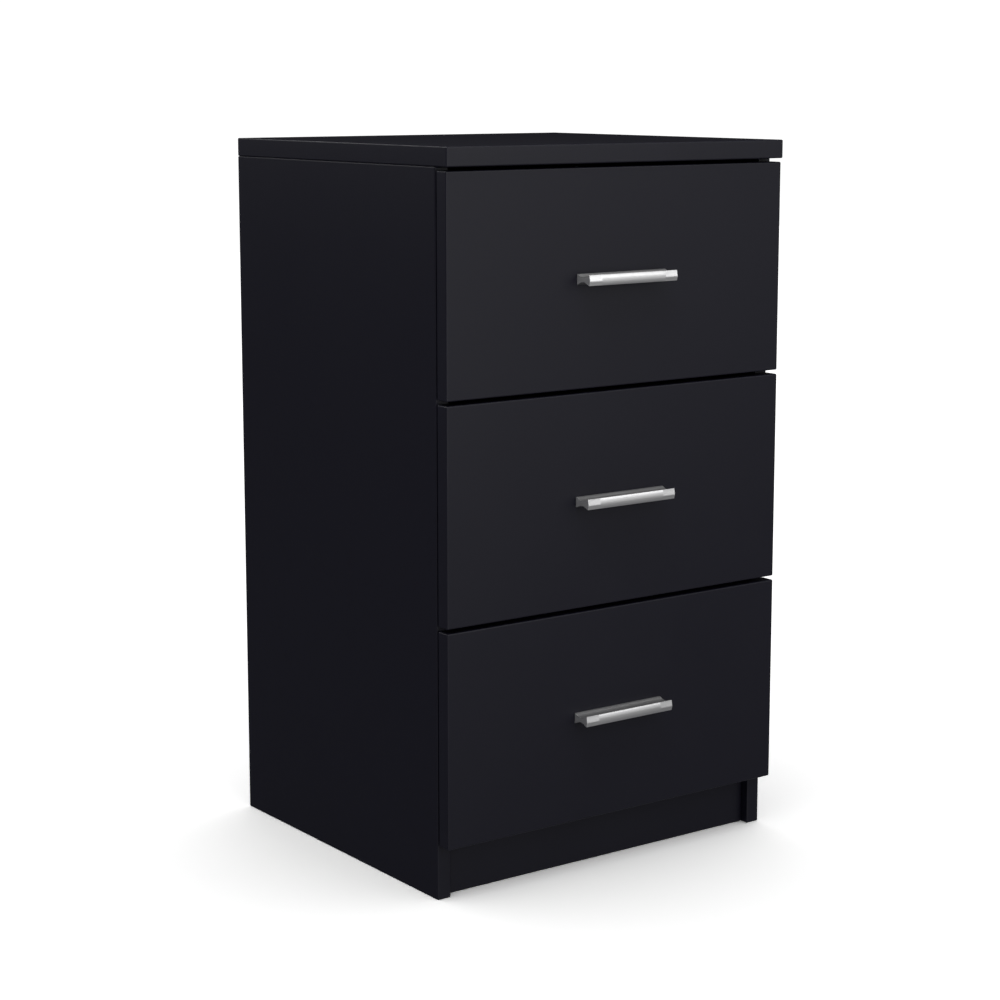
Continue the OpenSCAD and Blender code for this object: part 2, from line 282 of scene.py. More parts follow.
def makeLaminate():
    look = laminateLook
    material, tree, shader = startMaterial("blackLaminate")
    where = place(tree)
    pearls = useGroup(tree, pearlGroup, Place=where, Size=look["pearl"])
    handling = useGroup(tree, handlingGroup, Place=where, Patch=0.12)
    tone = addRange(tree, handling.outputs["Clouds"], 0.3, 0.7, 0.3, 0.7)
    base = addMix(tree, tone, shade(look["colour"], 0.95), shade(look["colour"], 1.05))
    spots = addMath(tree, "MULTIPLY", pearls.outputs["Spots"], 0.25)
    tree.links.new(addMix(tree, spots, base, shade(look["colour"], 1.3)), shader.inputs["Base Color"])
    low, high = look["roughness"] - look["uneven"], look["roughness"] + look["uneven"]
    cloudy = addRange(tree, handling.outputs["Clouds"], 0.3, 0.7, low, high)
    smeared = addMath(tree, "MULTIPLY", handling.outputs["Smudges"], look["uneven"])
    tree.links.new(addMath(tree, "ADD", cloudy, smeared), shader.inputs["Roughness"])
    shader.inputs["Specular IOR Level"].default_value = look["specular"]
    setBump(tree, shader, pearls.outputs["Height"], look["depth"])
    return material


edgingLook = {
    "colour": (0.0049, 0.0047, 0.0092),
    "roughness": (0.35, 0.43),  # in the milling lines and between them
    "specular": 0.32,
    "wear": 0.5,  # share of the paler plastic that rubbed corners show
    "depth": 0.006,
}


def makeEdging():
    # the plastic strip glued along a board's edges, smoother than the face, with faint milling lines
    look = edgingLook
    material, tree, shader = startMaterial("blackEdging")
    where = place(tree)
    grain = useGroup(tree, hairlineGroup, Place=place(tree, (0.05, 0.05, 1)), Density=700.0)
    handling = useGroup(tree, handlingGroup, Place=where, Patch=0.05)
    colour = addMix(tree, handling.outputs["Clouds"], shade(look["colour"], 0.92), shade(look["colour"], 1.1))
    wear = useGroup(tree, wearGroup, Place=where, Patch=0.03)
    rubbed = addMath(tree, "MULTIPLY", wear.outputs["Mask"], look["wear"])
    tree.links.new(addMix(tree, rubbed, colour, shade(look["colour"], 3)), shader.inputs["Base Color"])
    rough = addRange(tree, grain.outputs["Lines"], 0, 1, *look["roughness"])
    tree.links.new(rough, shader.inputs["Roughness"])
    shader.inputs["Specular IOR Level"].default_value = look["specular"]
    setBump(tree, shader, grain.outputs["Height"], look["depth"])
    return material


chipboardLook = {
    "light": (0.42, 0.29, 0.16),
    "dark": (0.16, 0.10, 0.05),
    "chip": 2.2,  # millimetres across
    "depth": 0.25,
}


def makeChipboard():
    # the pressed chips that show inside a drilled or grooved board
    material, tree, shader = startMaterial("rawChipboard")
    where = place(tree)
    chips = addNode(tree, "TexVoronoi", Vector=where, Scale=1000 / chipboardLook["chip"])
    fibres = addNode(tree, "TexNoise", Vector=where, Scale=1500.0)
    fibres.inputs["Detail"].default_value = 5
    streaks = addMath(tree, "ADD", fibres.outputs["Fac"], 0.4)
    tone = addMath(tree, "MULTIPLY", chips.outputs["Color"], streaks)
    colour = addMix(tree, tone, (*chipboardLook["dark"], 1), (*chipboardLook["light"], 1))
    tree.links.new(colour, shader.inputs["Base Color"])
    tree.links.new(addRange(tree, fibres.outputs["Fac"], 0.3, 0.7, 0.8, 0.95), shader.inputs["Roughness"])
    setBump(tree, shader, chips.outputs["Distance"], chipboardLook["depth"])
    return material


hardboardLook = {
    "colour": (0.0155, 0.0150, 0.0165),
    "fibre": (0.030, 0.028, 0.028),
    "roughness": (0.50, 0.65),  # between the fibres and on them
    "depth": 0.06,
}


def makeHardboard():
    # lacquered fibreboard: felted fibres show faintly through the paint
    material, tree, shader = startMaterial("lacqueredHardboard")
    where = place(tree)
    fibres = useGroup(tree, hairlineGroup, Place=place(tree, (1, 1, 0.35)), Density=420.0)
    handling = useGroup(tree, handlingGroup, Place=where, Patch=0.2)
    tone = addMath(tree, "MULTIPLY", fibres.outputs["Lines"], handling.outputs["Clouds"])
    colour = addMix(tree, tone, (*hardboardLook["colour"], 1), (*hardboardLook["fibre"], 1))
    tree.links.new(colour, shader.inputs["Base Color"])
    rough = addRange(tree, fibres.outputs["Lines"], 0, 1, *hardboardLook["roughness"])
    tree.links.new(rough, shader.inputs["Roughness"])
    setBump(tree, shader, fibres.outputs["Height"], hardboardLook["depth"])
    return material


metalLooks = {
    # "along" draws the hairlines out where it is small, "spread" is how far they change the roughness
    "satinAluminium": {
        "colour": (0.90, 0.90, 0.905), "roughness": 0.36, "spread": 0.05,
        "along": (0.008, 1, 1), "density": 1800.0, "depth": 0.0006,
    },
    # the handle's hollows: rougher as drawn, and their darker colour is painted shade in the recess under the
    # lip
    "millAluminiumPaintedShade": {
        "colour": (0.50, 0.50, 0.505), "roughness": 0.46, "spread": 0.08,
        "along": (0.01, 1, 1), "density": 900.0, "depth": 0.0015,
    },
    "sawnAluminium": {
        "colour": (0.84, 0.84, 0.845), "roughness": 0.64, "spread": 0.12,
        "along": (1, 0.1, 1), "density": 1600.0, "depth": 0.005,
    },
    "zincPlating": {
        "colour": (0.56, 0.57, 0.59), "roughness": 0.34, "spread": 0.12,
        "along": (1, 1, 1), "density": 1400.0, "depth": 0.004,
    },
}


def makeMetal(name):
    look = metalLooks[name]
    material, tree, shader = startMaterial(name)
    lines = useGroup(tree, hairlineGroup, Place=place(tree, look["along"]), Density=look["density"])
    handling = useGroup(tree, handlingGroup, Place=place(tree), Patch=0.03)
    colour = addMix(tree, lines.outputs["Lines"], shade(look["colour"], 0.95), shade(look["colour"], 1.03))
    dull = addMath(tree, "MULTIPLY", handling.outputs["Smudges"], 0.3)
    tree.links.new(addMix(tree, dull, colour, shade(look["colour"], 0.88)), shader.inputs["Base Color"])
    brushed = spread(tree, lines.outputs["Lines"], look["roughness"], look["spread"] / 2)
    smeared = addMath(tree, "MULTIPLY", handling.outputs["Smudges"], 0.05)
    tree.links.new(addMath(tree, "ADD", brushed, smeared), shader.inputs["Roughness"])
    shader.inputs["Metallic"].default_value = 1
    setBump(tree, shader, lines.outputs["Height"], look["depth"])
    return material


coatingLook = {
    "colour": (0.70, 0.70, 0.68),
    "roughness": (0.32, 0.42),  # clean and soiled
    "peel": 2.5,  # millimetres across
    "depth": 0.03,
}


def makeCoating():
    # white epoxy powder on the runners, with its slight orange peel, grey rub marks and worn corners
    material, tree, shader = startMaterial("epoxyCoating")
    where = place(tree)
    peel = addNode(tree, "TexNoise", Vector=where, Scale=1000 / coatingLook["peel"])
    handling = useGroup(tree, handlingGroup, Place=place(tree, (1, 0.15, 1)), Patch=0.03)
    wear = useGroup(tree, wearGroup, Place=where, Patch=0.008)
    soiled = addMath(tree, "MULTIPLY", handling.outputs["Smudges"], 0.35)
    rubbed = addMath(tree, "ADD", soiled, addMath(tree, "MULTIPLY", wear.outputs["Mask"], 0.6), clamp=True)
    colour = addMix(tree, rubbed, (*coatingLook["colour"], 1), shade(coatingLook["colour"], 0.62))
    tree.links.new(colour, shader.inputs["Base Color"])
    rough = addRange(tree, handling.outputs["Smudges"], 0, 1, *coatingLook["roughness"])
    tree.links.new(rough, shader.inputs["Roughness"])
    setBump(tree, shader, peel.outputs["Fac"], coatingLook["depth"])
    return material


nylonLook = {"colour": (0.76, 0.76, 0.73), "roughness": 0.42, "depth": 0.006}


def makeNylon():
    material, tree, shader = startMaterial("mouldedNylon")
    pearls = useGroup(tree, pearlGroup, Place=place(tree), Size=0.4)
    handling = useGroup(tree, handlingGroup, Place=place(tree), Patch=0.008)
    greyed = addMath(tree, "MULTIPLY", handling.outputs["Smudges"], 0.3)
    colour = addMix(tree, greyed, (*nylonLook["colour"], 1), shade(nylonLook["colour"], 0.7))
    tree.links.new(colour, shader.inputs["Base Color"])
    rough = spread(tree, pearls.outputs["Spots"], nylonLook["roughness"], 0.04)
    tree.links.new(rough, shader.inputs["Roughness"])
    shader.inputs["Subsurface Weight"].default_value = 0.1
    shader.inputs["Subsurface Scale"].default_value = 0.002
    setBump(tree, shader, pearls.outputs["Height"], nylonLook["depth"])
    return material


beechLook = {"light": (0.56, 0.38, 0.21), "dark": (0.36, 0.21, 0.10), "depth": 0.05}


def makeBeech():
    material, tree, shader = startMaterial("rawBeech")
    grain = addNode(tree, "TexNoise", Vector=place(tree, (1, 1, 0.12)), Scale=1800.0)
    grain.inputs["Detail"].default_value = 4
    tone = addRange(tree, grain.outputs["Fac"], 0.35, 0.65, 0, 1)
    colour = addMix(tree, tone, (*beechLook["light"], 1), (*beechLook["dark"], 1))
    tree.links.new(colour, shader.inputs["Base Color"])
    tree.links.new(addRange(tree, tone, 0, 1, 0.6, 0.75), shader.inputs["Roughness"])
    setBump(tree, shader, grain.outputs["Fac"], beechLook["depth"])
    return material


laminate = makeLaminate()
edging = makeEdging()
chipboard = makeChipboard()
hardboard = makeHardboard()
aluminium = makeMetal("satinAluminium")
# the hollows' aluminium, its darker colour painted shade
millAluminiumPaintedShade = makeMetal("millAluminiumPaintedShade")
sawnAluminium = makeMetal("sawnAluminium")
zinc = makeMetal("zincPlating")
coating = makeCoating()
nylon = makeNylon()
beech = makeBeech()
print("materials made")

# Mesh helpers


def makePiece(name, mesh, materials):
    if isinstance(mesh, bmesh.types.BMesh):
        data = bpy.data.meshes.new(name)
        bmesh.ops.recalc_face_normals(mesh, faces=mesh.faces)
        mesh.to_mesh(data)
        mesh.free()
        mesh = data
    piece = bpy.data.objects.new(name, mesh)
    scene.collection.objects.link(piece)
    for material in materials:
        mesh.materials.append(material)
    return piece


def finishPiece(piece, body, slot, *nodes):
    for polygon in piece.data.polygons:
        polygon.use_smooth = True
    even = piece.modifiers.new("evenNormals", "WEIGHTED_NORMAL")
    even.weight = 100
    even.keep_sharp = True
    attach(piece, body)
    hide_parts(*nodes)
    return piece


def weldedCopy(node):
    mesh = bmesh.new()
    mesh.from_mesh(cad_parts[node].data)
    bmesh.ops.remove_doubles(mesh, verts=mesh.verts, dist=1e-6)
    return mesh


def solidsOf(node):
    # the corner coordinates of each separate solid in a CAD node
    mesh = weldedCopy(node)
    left, solids = set(mesh.verts), []
    while left:
        found, edge = set(), [left.pop()]
        while edge:
            vert = edge.pop()
            found.add(vert)
            for other in (e.other_vert(vert) for e in vert.link_edges):
                if other in left:
                    left.discard(other)
                    edge.append(other)
        solids.append([v.co.copy() for v in found])
    mesh.free()

    def firstCorner(points):
        return tuple(round(c, 4) for c in min(points, key=lambda p: tuple(p)))

    return sorted(solids, key=firstCorner)


def boxOf(points):
    low = Vector(min(p[i] for p in points) for i in range(3))
    high = Vector(max(p[i] for p in points) for i in range(3))
    return low, high


def combine(meshA, meshB, operation, name):
    # one boolean between two meshes, as a new mesh
    a, b = (bpy.data.objects.new(name, m) for m in (meshA, meshB))
    for obj in (a, b):
        scene.collection.objects.link(obj)
    cut = a.modifiers.new("cut", "BOOLEAN")
    cut.operation = operation
    cut.solver = "EXACT"
    cut.object = b
    bpy.context.view_layer.update()
    made = bpy.data.meshes.new_from_object(a.evaluated_get(bpy.context.evaluated_depsgraph_get()))
    for obj in (a, b):
        data = obj.data
        bpy.data.objects.remove(obj)
        bpy.data.meshes.remove(data)
    return made


def asMesh(mesh, name):
    data = bpy.data.meshes.new(name)
    mesh.to_mesh(data)
    mesh.free()
    return data


# Boards: the CAD board with its drilled holes and grooves, its outer edges rounded and banded


def roundedBlock(low, high, radius, segments=4):
    mesh = bmesh.new()
    bmesh.ops.create_cube(mesh, size=1)
    size, centre = high - low, (high + low) / 2
    for vert in mesh.verts:
        vert.co = Vector(v * s for v, s in zip(vert.co, size)) + centre
    bmesh.ops.bevel(mesh, geom=mesh.edges[:], offset=radius, segments=segments, profile=0.5, affect="EDGES")
    return mesh


def makeBoard(node, body, slot, radius, face, edge):
    low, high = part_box(node)
    block = asMesh(roundedBlock(low, high, radius), node + "Block")
    mesh = combine(block, asMesh(weldedCopy(node), node + "Drilled"), "INTERSECT", node)
    work = bmesh.new()
    work.from_mesh(mesh)
    bpy.data.meshes.remove(mesh)
    bmesh.ops.remove_doubles(work, verts=work.verts, dist=2e-6)
    bmesh.ops.dissolve_limit(work, angle_limit=math.radians(0.5), verts=work.verts, edges=work.edges)
    thin = min(range(3), key=lambda i: high[i] - low[i])
    for polygon in work.faces:
        centre = polygon.calc_center_median()
        depth = min(min(centre[i] - low[i], high[i] - centre[i]) for i in range(3))
        if depth > radius * 0.6:
            polygon.material_index = 2
        elif abs(polygon.normal[thin]) < 0.999:
            polygon.material_index = 1
    bmesh.ops.recalc_face_normals(work, faces=work.faces)
    piece = makePiece(node + "_board", work, (face, edge, chipboard))
    return finishPiece(piece, body, slot, node)


boards = {
    "radius": 1.3 * mm,  # the edging's rounded corners
    "boxRadius": 0.5 * mm,
    "thinRadius": 0.25 * mm,  # the hardboard's broken corners
}

for node in ("top_panel", "left_side_panel", "right_side_panel", "plinth_board", "bottom_panel"):
    makeBoard(node, "cabinet", "black_laminate", boards["radius"], laminate, edging)
makeBoard("back_panel", "cabinet", "hardboard", boards["thinRadius"], hardboard, hardboard)
for level in levels:
    drawer = level + "_drawer"
    makeBoard(drawer + "_front", drawer, "black_laminate", boards["radius"], laminate, edging)
    for part in ("_left_side", "_right_side", "_back"):
        makeBoard(drawer + part, drawer, "black_laminate", boards["boxRadius"], laminate, edging)
    makeBoard(drawer + "_bottom", drawer, "hardboard", boards["thinRadius"], hardboard, hardboard)
print("boards made")

# Handles: drawn aluminium profiles


def arcPoints(centre, radius, start, end, steps):
    turns = (math.radians(start + (end - start) * i / steps) for i in range(steps + 1))
    return [(centre[0] + radius * math.cos(t), centre[1] + radius * math.sin(t)) for t in turns]


def roundCorner(before, corner, after, radius, steps=4):
    # replaces a corner by an arc that touches both sides
    a, c, b = Vector(before), Vector(corner), Vector(after)
    toA, toB = (a - c).normalized(), (b - c).normalized()
    half = toA.angle(toB) / 2
    reach = radius / math.tan(half)
    start, end = c + toA * reach, c + toB * reach
    centre = c + (toA + toB).normalized() * (radius / math.sin(half))
    points = []
    for i in range(steps + 1):
        spoke = (start - centre).lerp(end - centre, i / steps).normalized() * radius
        points.append(tuple(centre + spoke))
    return points


def extrude(points, low, high, axis, bevel):
    # a closed outline drawn out along X or Y; the outline's own axes are the other one and Z
    mesh = bmesh.new()
    order = (lambda s, p: (s, p[0], p[1])) if axis == "X" else (lambda s, p: (p[0], s, p[1]))
    rings = [[mesh.verts.new(order(s, p)) for p in points] for s in (low, high)]
    mesh.faces.new(rings[0])
    mesh.faces.new(rings[1][::-1])
    for i in range(len(points)):
        j = (i + 1) % len(points)
        mesh.faces.new((rings[0][j], rings[0][i], rings[1][i], rings[1][j]))
    bmesh.ops.recalc_face_normals(mesh, faces=mesh.faces)
    along = Vector(order(1, (0, 0)))
    rims = [e for e in mesh.edges if abs((e.verts[0].co - e.verts[1].co).dot(along)) < 1e-9]
    bmesh.ops.bevel(
        mesh, geom=rims, offset=bevel, segments=2, profile=0.5, affect="EDGES", clamp_overlap=True)
    return mesh


handle = {
    "bulge": 1.1 * mm,  # how far the lip's face stands out in its middle
    "tip": 1.5 * mm,  # thickness of the tips along the front and the lip
    "hollow": 2.7 * mm,  # depth of the hollow above and below
    "corner": 0.35 * mm,
    "endBevel": 0.2 * mm,
    "endLength": 14.5 * mm,  # towards each end the lip's face has two flats instead of the curve
    "crease": -1.0 * mm,  # height where the two flats meet
    "blend": 0.4 * mm,  # half the length over which flats turn into curve
}


def lipFace(edge, front, half, flats, steps=24):
    # depths of the lip's outer face from its upper to its lower edge
    bulge = edge - front
    radius = (half * half + bulge * bulge) / (2 * bulge)
    points = []
    for i in range(1, steps):
        z = half - 2 * half * i / steps
        curve = front + radius - math.sqrt(radius * radius - z * z)
        above = front + bulge * (z - handle["crease"]) / (half - handle["crease"])
        below = front + bulge * (handle["crease"] - z) / (half + handle["crease"])
        flat = max(above, below)
        near = abs(above - below) / bulge
        flat += 0.04 * bulge * max(0, 1 - near / 0.25)  # the crease itself is slightly rounded
        points.append((flat if flats else curve, z))
    return points


def handleOutline(low, high, half, flats):
    lipEdge = low.y + handle["bulge"]
    start, end = lipEdge + handle["tip"], high.y - handle["tip"]
    chord, sag = end - start, handle["hollow"]
    radius = (chord * chord / 4 + sag * sag) / (2 * sag)
    turn = math.degrees(math.asin(chord / 2 / radius))
    over = ((start + end) / 2, half - sag + radius)
    # from the front's face along the upper hollow to the lip, down the lip's face, then back below
    hollow = arcPoints(over, radius, 270 + turn, 270 - turn, 20)
    face = lipFace(lipEdge, low.y, half, flats)
    upper = [(high.y, 0.0)]
    upper += roundCorner((high.y, 0), (high.y, half), hollow[0], handle["corner"])
    upper += hollow[1:-1]
    onLip = (low.y + handle["bulge"] * 0.6, half * 0.8)
    upper += roundCorner(hollow[-1], (lipEdge, half), onLip, handle["corner"])
    lower = [(y, -z) for y, z in upper[1:]][::-1]
    return upper + face[2:-2] + lower


def makeHandle(level):
    drawer = level + "_drawer"
    node = drawer + "_handle"
    low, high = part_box(node)
    middle, half = (low.z + high.z) / 2, (high.z - low.z) / 2
    blend = handle["blend"]
    inner = low.x + handle["endLength"]
    outer = high.x - handle["endLength"]
    places = (
        (low.x, True), (inner - blend, True), (inner + blend, False),
        (outer - blend, False), (outer + blend, True), (high.x, True),
    )
    mesh = bmesh.new()
    rings = []
    for x, flats in places:
        outline = handleOutline(low, high, half, flats)
        rings.append([mesh.verts.new((x, y, z + middle)) for y, z in outline])
    ends = [mesh.faces.new(rings[0]), mesh.faces.new(rings[-1][::-1])]
    for near, far in zip(rings, rings[1:]):
        for i in range(len(near)):
            j = (i + 1) % len(near)
            mesh.faces.new((near[j], near[i], far[i], far[j]))
    bmesh.ops.recalc_face_normals(mesh, faces=mesh.faces)
    rims = [edge for end in ends for edge in end.edges]
    bmesh.ops.bevel(mesh, geom=rims, offset=handle["endBevel"], segments=2, profile=0.5, affect="EDGES")
    for polygon in mesh.faces:
        # sawn ends, hollows left as they were drawn and darkened in colour as painted shade, and a brushed
        # lip
        behindLip = polygon.calc_center_median().y > low.y + handle["bulge"] + handle["tip"] / 2
        polygon.material_index = 2 if abs(polygon.normal.x) > 0.99 else int(behindLip)
    finishes = (aluminium, millAluminiumPaintedShade, sawnAluminium)
    return finishPiece(makePiece(node + "_profile", mesh, finishes), drawer, "aluminium", node)


for level in levels:
    makeHandle(level)
print("handles made")

# Turned pieces: rollers, pins and screws


def lathe(profile, steps=32):
    # profile of (radius, height) points from bottom to top, turned about Z
    mesh = bmesh.new()
    rings = []
    for radius, height in profile:
        if radius < 1e-7:
            rings.append([mesh.verts.new((0, 0, height))])
            continue
        spokes = ((2 * math.pi * i / steps) for i in range(steps))
        rings.append([mesh.verts.new((radius * math.cos(t), radius * math.sin(t), height)) for t in spokes])
    for lower, upper in zip(rings, rings[1:]):
        for i in range(steps):
            j = (i + 1) % steps
            corners = [ring[k % len(ring)] for ring, k in ((lower, i), (lower, j), (upper, j), (upper, i))]
            unique = list(dict.fromkeys(corners))
            if len(unique) > 2:
                mesh.faces.new(unique)
    bmesh.ops.recalc_face_normals(mesh, faces=mesh.faces)
    return mesh


def copyInto(target, source, matrix):
    lookup = {}
    for vert in source.verts:
        lookup[vert] = target.verts.new(matrix @ vert.co)
    for polygon in source.faces:
        made = target.faces.new([lookup[v] for v in polygon.verts])
        made.material_index = polygon.material_index


def alongAxis(points):
    # a turned solid's frame from its CAD corners: origin at its thick end, +Z towards its thin end
    low, high = boxOf(points)
    size, centre = high - low, (low + high) / 2
    axis = max(range(3), key=lambda i: size[i])
    across = [i for i in range(3) if i != axis]

    def reach(side):
        end = [p for p in points if abs(p[axis] - side) < 1e-5]
        return max(abs(p[i] - centre[i]) for p in end for i in across)

    atLow = reach(low[axis]) >= reach(high[axis])
    origin = centre.copy()
    origin[axis] = low[axis] if atLow else high[axis]
    direction = Vector((0, 0, 0))
    direction[axis] = 1 if atLow else -1
    turn = direction.to_track_quat("Z", "Y").to_matrix().to_4x4()
    return Matrix.Translation(origin) @ turn, size[axis]


screws = {
    # head radius and height, shank radius, thread pitch, all in millimetres; "flat" is countersunk
    "handle_screws": {"head": 4.0, "headHeight": 2.6, "shank": 2.0, "pitch": 0.7, "style": "pan"},
    "rail_screws": {"head": 3.2, "headHeight": 1.0, "shank": 1.6, "pitch": 1.4, "style": "pan"},
    "box_screws": {"head": 3.5, "headHeight": 3.0, "shank": 2.5, "pitch": 2.6, "style": "flat"},
    "panel_screws": {"head": 3.0, "headHeight": 1.0, "shank": 1.5, "pitch": 1.4, "style": "flat"},
}


def screwProfile(look, length):
    head, thick, shank, pitch = (look[k] * mm for k in ("head", "headHeight", "shank", "pitch"))
    if look["style"] == "pan":
        profile = [(0, 0), (head * 0.62, 0)]
        turns = (math.pi / 2 * i / 6 for i in range(1, 7))
        profile += [(head * (0.62 + 0.38 * math.sin(t)), thick * 0.75 * (1 - math.cos(t))) for t in turns]
        profile += [(head, thick * 0.93), (head * 0.96, thick)]
    else:
        profile = [(0, 0), (head * 0.94, 0), (head, thick * 0.06), (head, thick * 0.2), (shank, thick)]
    root = shank * 0.78
    height, stop = thick + 0.4 * mm, length - shank * 1.4
    profile.append((root, thick if look["style"] == "pan" else height))
    while height + pitch < stop:
        turn = ((root, 0.3), (shank, 0.5), (shank, 0.6))
        profile += [(radius, height + pitch * share) for radius, share in turn]
        height += pitch
        profile.append((root, height))
    tapered = look["pitch"] > 1
    profile += [(root, stop), (root * (0.12 if tapered else 0.8), length), (0, length)]
    return profile


def recessArms(head, depth):
    # the two tapered arms of the cross for the driver, cut from a screw's head
    arm, width = head * 0.55, head * 0.17
    for turn in (0, math.pi / 2):
        block = bmesh.new()
        bmesh.ops.create_cube(block, size=1)
        for vert in block.verts:
            narrow = 0.55 if vert.co.z > 0 else 1
            height = depth if vert.co.z > 0 else -0.2 * mm
            vert.co = Vector((vert.co.x * 2 * arm * narrow, vert.co.y * 2 * width, height))
        bmesh.ops.transform(block, matrix=Matrix.Rotation(turn, 4, "Z"), verts=block.verts)
        yield asMesh(block, "arm")


def makeScrewMesh(look, length):
    solid = asMesh(lathe(screwProfile(look, length), 24), "screw")
    for arm in recessArms(look["head"] * mm, min(look["headHeight"] * 0.7, 1.6) * mm):
        solid = combine(solid, arm, "DIFFERENCE", "screw")
    mesh = bmesh.new()
    mesh.from_mesh(solid)
    bpy.data.meshes.remove(solid)
    return mesh


def makeScrews(node, body, look):
    solids = solidsOf(node)
    target, pattern = bmesh.new(), None
    for points in solids:
        matrix, length = alongAxis(points)
        pattern = pattern or makeScrewMesh(look, length)
        copyInto(target, pattern, matrix)
    pattern.free()
    return finishPiece(makePiece(node + "_turned", target, (zinc,)), body, "zinc", node)


makeScrews("cabinet_rail_screws", "cabinet", screws["rail_screws"])
makeScrews("back_panel_screws", "cabinet", screws["panel_screws"])
for level in levels:
    drawer = level + "_drawer"
    for part in ("handle_screws", "rail_screws", "box_screws"):
        makeScrews(f"{drawer}_{part}", drawer, screws[part])
print("screws made")

roller = {"edge": 0.6 * mm, "hub": 4.5 * mm, "bore": 2.05 * mm, "rim": 1.9 * mm, "dish": 1.2 * mm}


def rollerProfile(radius, width):
    half, edge = width / 2, roller["edge"]
    inner = radius - roller["rim"]
    side = [
        (roller["bore"], half), (roller["hub"] - 0.2 * mm, half), (roller["hub"], half - 0.2 * mm),
        (roller["hub"], half - roller["dish"]), (inner, half - roller["dish"]), (inner, half - 0.2 * mm),
        (inner + 0.2 * mm, half), (radius - edge, half),
    ]
    turns = (math.pi / 2 * i / 5 for i in range(1, 6))
    corner = [(radius - edge + edge * math.sin(t), half - edge + edge * math.cos(t)) for t in turns]
    upper = side + corner
    lower = [(r, -h) for r, h in upper[::-1]]
    return upper + lower + [upper[0]]


def makeRollers(node, body):
    target = bmesh.new()
    for points in solidsOf(node):
        low, high = boxOf(points)
        wheel = lathe(rollerProfile((high.z - low.z) / 2, high.x - low.x), 64)
        bmesh.ops.remove_doubles(wheel, verts=wheel.verts, dist=1e-7)
        copyInto(target, wheel, Matrix.Translation((low + high) / 2) @ Matrix.Rotation(math.pi / 2, 4, "Y"))
        wheel.free()
    return finishPiece(makePiece(node + "_moulded", target, (nylon,)), body, "nylon", node)


for level in levels:
    makeRollers(level + "_front_rollers", level + "_front_rollers")
    makeRollers(level + "_drawer_rear_rollers", level + "_drawer_rear_rollers")
print("rollers made")

# Runners: bent steel strip with its roller's pin


def bentStrip(path, thickness, bend, steps=5):
    # the outline of a strip that follows a path of straight runs, its bends rounded
    line = [Vector(path[0])]
    for before, corner, after in zip(path, path[1:], path[2:]):
        line += [Vector(p) for p in roundCorner(before, corner, after, bend, steps)]
    line.append(Vector(path[-1]))
    left, right = [], []
    for i, point in enumerate(line):
        ahead = line[min(i + 1, len(line) - 1)] - line[max(i - 1, 0)]
        side = Vector((-ahead.y, ahead.x)).normalized() * thickness / 2
        left.append(tuple(point + side))
        right.append(tuple(point - side))
    return left + right[::-1]


rail = {
    "steel": 1.2 * mm,
    "bend": 1.1 * mm,  # radius of the strip's middle at a bend
    "pinRadius": 2.0 * mm,
    "pinHead": 3.5 * mm,
    "pinHeadHeight": 0.7 * mm,
    "gap": 0.05 * mm,  # between a roller and its pin's head
    "cornerBreak": 0.12 * mm,
    "flangeStart": 26 * mm,  # the upper flange is cut away over the front roller
    "ledge": 10 * mm,
    "lip": 1.4 * mm,
    "slot": (4.2 * mm, 11 * mm),  # width and length of the fixing slots
    "slotsAt": (0.26, 0.40, 0.72, 0.86),  # shares of the rail's length
}


def cutBox(mesh, low, high, name):
    block = bmesh.new()
    bmesh.ops.create_cube(block, size=1)
    for vert in block.verts:
        vert.co = Vector(l if v < 0 else h for v, l, h in zip(vert.co, low, high))
    bmesh.ops.recalc_face_normals(block, faces=block.faces)
    return combine(mesh, asMesh(block, "cutter"), "DIFFERENCE", name)


def cutSlots(mesh, x, z, yLow, length, name):
    width, long = rail["slot"]
    for share in rail["slotsAt"]:
        y = yLow + length * share
        outline = arcPoints((y + (long - width) / 2, z), width / 2, -90, 90, 8)
        outline += arcPoints((y - (long - width) / 2, z), width / 2, 90, 270, 8)
        slot = extrude(outline, x - 3 * rail["steel"], x + 3 * rail["steel"], "X", 0)
        mesh = combine(mesh, asMesh(slot, "slot"), "DIFFERENCE", name)
    return mesh


def pinMesh(length):
    radius, head, high = rail["pinRadius"], rail["pinHead"], rail["pinHeadHeight"]
    profile = [(0, 0), (radius, 0), (radius, length - high), (head, length - high)]
    profile += [(head, length - high * 0.45), (head * 0.92, length - high * 0.12)]
    profile += [(head * 0.75, length), (0, length)]
    return lathe(profile, 32)


